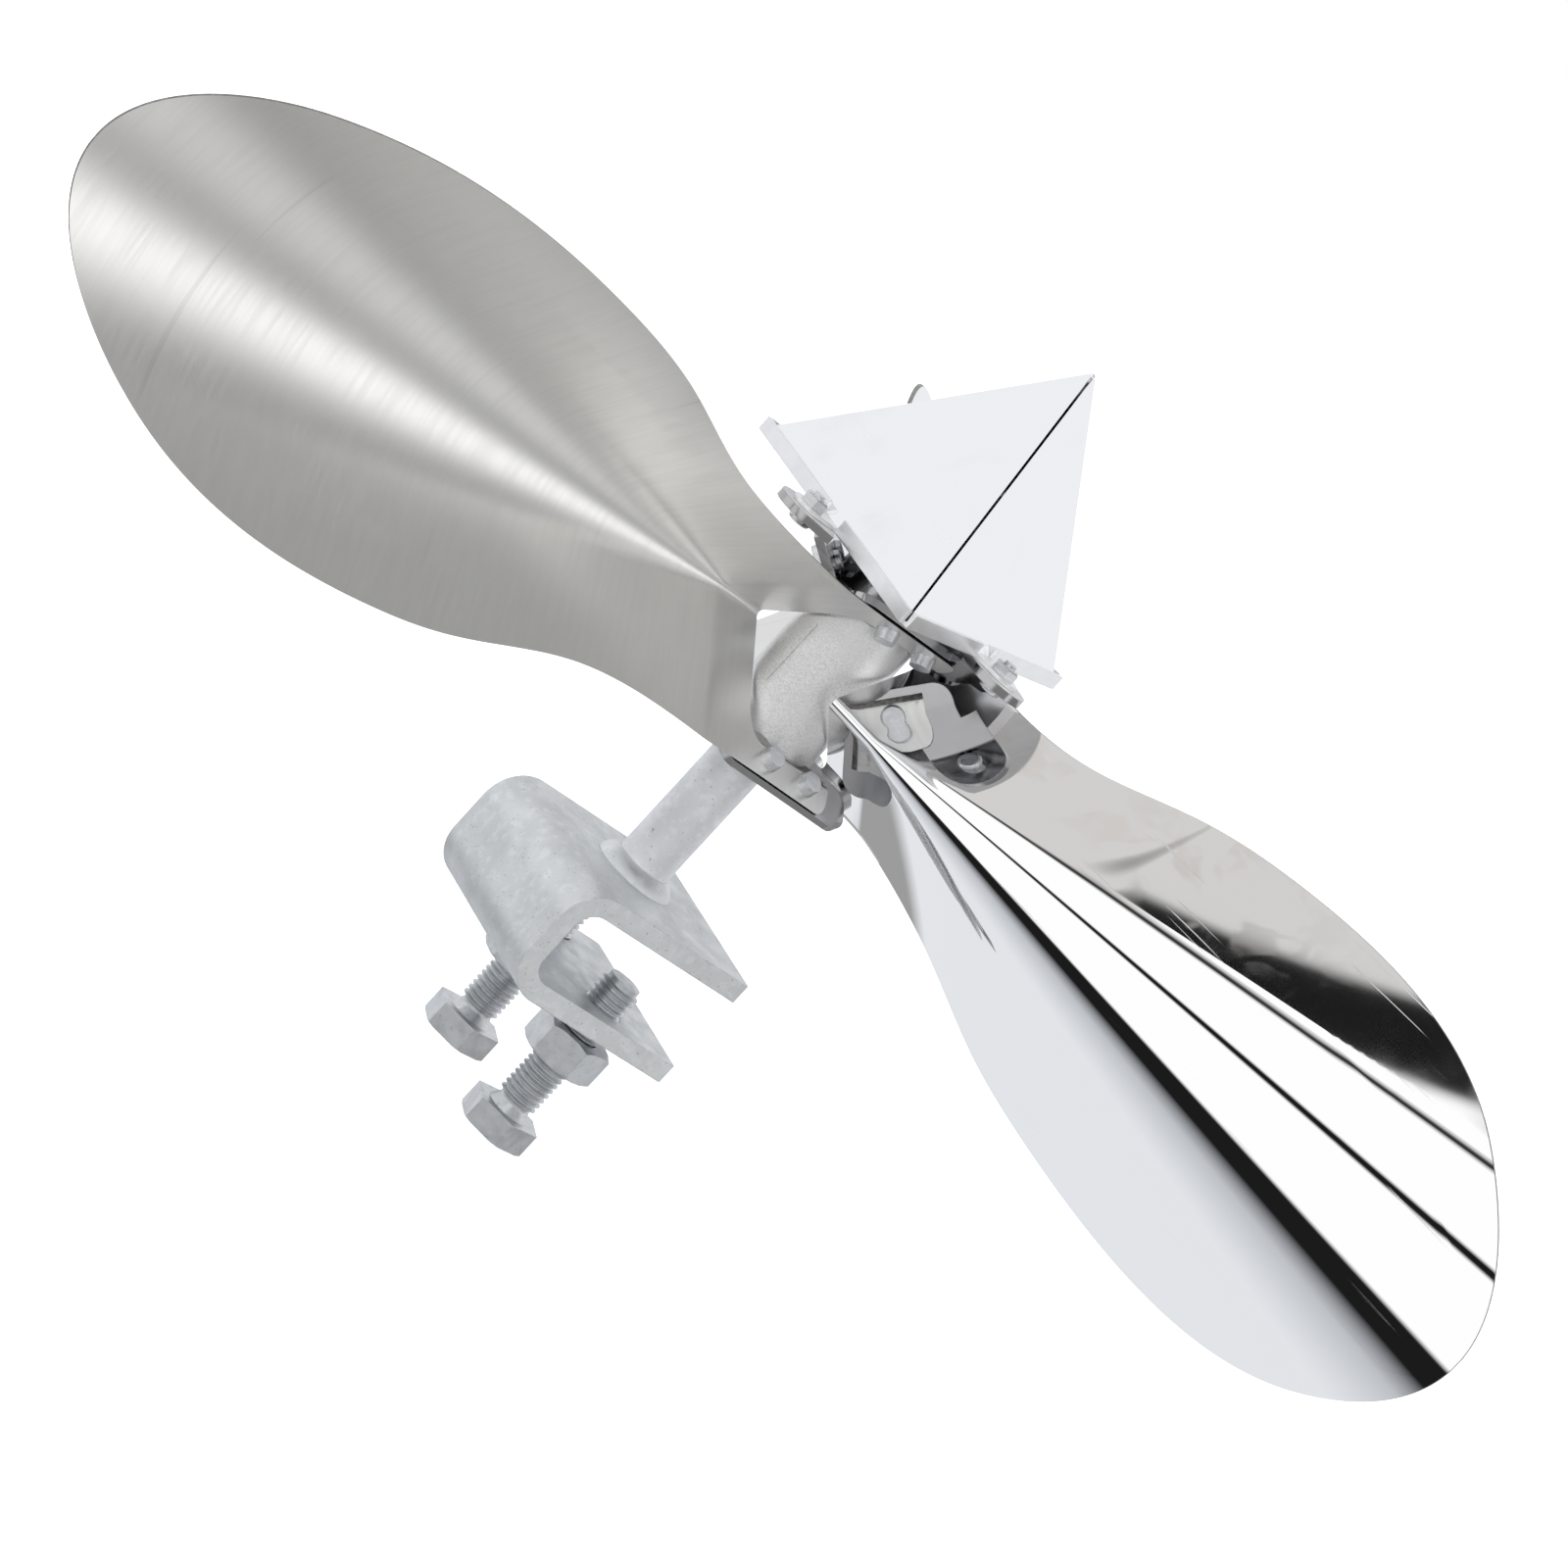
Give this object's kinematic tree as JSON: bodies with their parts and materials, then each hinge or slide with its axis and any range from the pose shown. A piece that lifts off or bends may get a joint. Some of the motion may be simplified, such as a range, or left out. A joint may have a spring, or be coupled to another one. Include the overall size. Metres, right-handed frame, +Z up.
{
  "type": "wind spinner",
  "caption": "Wind-driven reflector: scoop blades and a mirror pyramid turning on bearings above a screw clamp for a steel edge.",
  "frame": {"origin": "on the spindle's axis, in the underside of the clamp's upper leg, where the gripped steel lies", "axes": "+Z up along the spindle, from the clamp to the pyramid's tip; +X out of the clamp's mouth; +Y to the left when looking out of the mouth, so the front bolt is on the -Y side"},
  "size_m": [0.3426, 0.3771, 0.2168],
  "materials": {
    "galvanised_steel": "hot-dip galvanised, pale blue-grey, softly mottled, matt",
    "zinc_plated_steel": "bright zinc plating, satin, darker in the thread roots",
    "spindle_steel": "galvanised round bar, satin with faint lengthwise drawing lines",
    "weld_steel": "galvanised weld bead, rippled, matt",
    "bearing_steel": "ground and polished",
    "cage_steel": "pressed strip steel, satin",
    "spacer_aluminium": "turned",
    "seal_rubber": "matt black",
    "hub_steel": "bead-blasted stainless, matt",
    "petal_steel": "satin stainless, light grey",
    "blade_steel": "polished stainless with fine brushing, a mirror on the back, smudged by handling",
    "rivet_aluminium": "flat-ended stud heads, satin",
    "tray_steel": "bright stainless sheet, sheared edges",
    "mirror_steel": "mirror-polished stainless sheet, faint scratches",
    "stainless_fastener": "stainless, satin"
  },
  "bodies": {
    "bracket": {"clamp_bracket": "galvanised_steel", "spindle": "spindle_steel", "weld_bead": "weld_steel", "lower_bearing_inner_race": "bearing_steel", "upper_bearing_inner_race": "bearing_steel", "inner_spacer": "spacer_aluminium", "spindle_washer": "zinc_plated_steel", "spindle_nut": "zinc_plated_steel"},
    "rotor": {"hub_tube": "hub_steel", "hub_cap": "hub_steel", "lower_bearing_outer_race": "bearing_steel", "upper_bearing_outer_race": "bearing_steel", "lower_bearing_balls": "bearing_steel", "upper_bearing_balls": "bearing_steel", "lower_bearing_cage": "cage_steel", "upper_bearing_cage": "cage_steel", "lower_bearing_shields": "cage_steel", "upper_bearing_shields": "cage_steel", "outer_spacer": "spacer_aluminium", "dust_seal": "seal_rubber", "retaining_ring": "cage_steel", "lower_petal_bracket": "petal_steel", "upper_petal_bracket": "petal_steel", "blade_1": "blade_steel", "blade_2": "blade_steel", "blade_3": "blade_steel", "upper_rivets": "rivet_aluminium", "lower_rivets": "rivet_aluminium", "pyramid_base": "tray_steel", "pyramid_panel_1": "mirror_steel", "pyramid_panel_2": "mirror_steel", "pyramid_panel_3": "mirror_steel", "pyramid_screws": "stainless_fastener", "pyramid_nuts": "stainless_fastener"},
    "front_bolt": {"front_bolt": "zinc_plated_steel"},
    "back_bolt": {"back_bolt": "zinc_plated_steel"},
    "front_nut": {"front_lock_nut": "zinc_plated_steel"},
    "back_nut": {"back_lock_nut": "zinc_plated_steel"}
  },
  "joints": [
    {"name": "rotor_spin", "type": "hinge", "parent": "bracket", "child": "rotor", "pos_m": [0, 0, 0.06775], "axis": [0, 0, 1], "continuous": true},
    {"name": "front_bolt_screw", "type": "slide", "parent": "bracket", "child": "front_bolt", "axis": [0, 0, 1], "range_m": [-0.0075, 0.012]},
    {"name": "back_bolt_screw", "type": "slide", "parent": "bracket", "child": "back_bolt", "axis": [0, 0, 1], "range_m": [-0.011, 0.0085]},
    {"name": "front_nut_screw", "type": "slide", "parent": "bracket", "child": "front_nut", "axis": [0, 0, 1], "range_m": [-0.003, 0.003]},
    {"name": "back_nut_screw", "type": "slide", "parent": "bracket", "child": "back_nut", "axis": [0, 0, 1], "range_m": [-0.006, 0]}
  ]
}
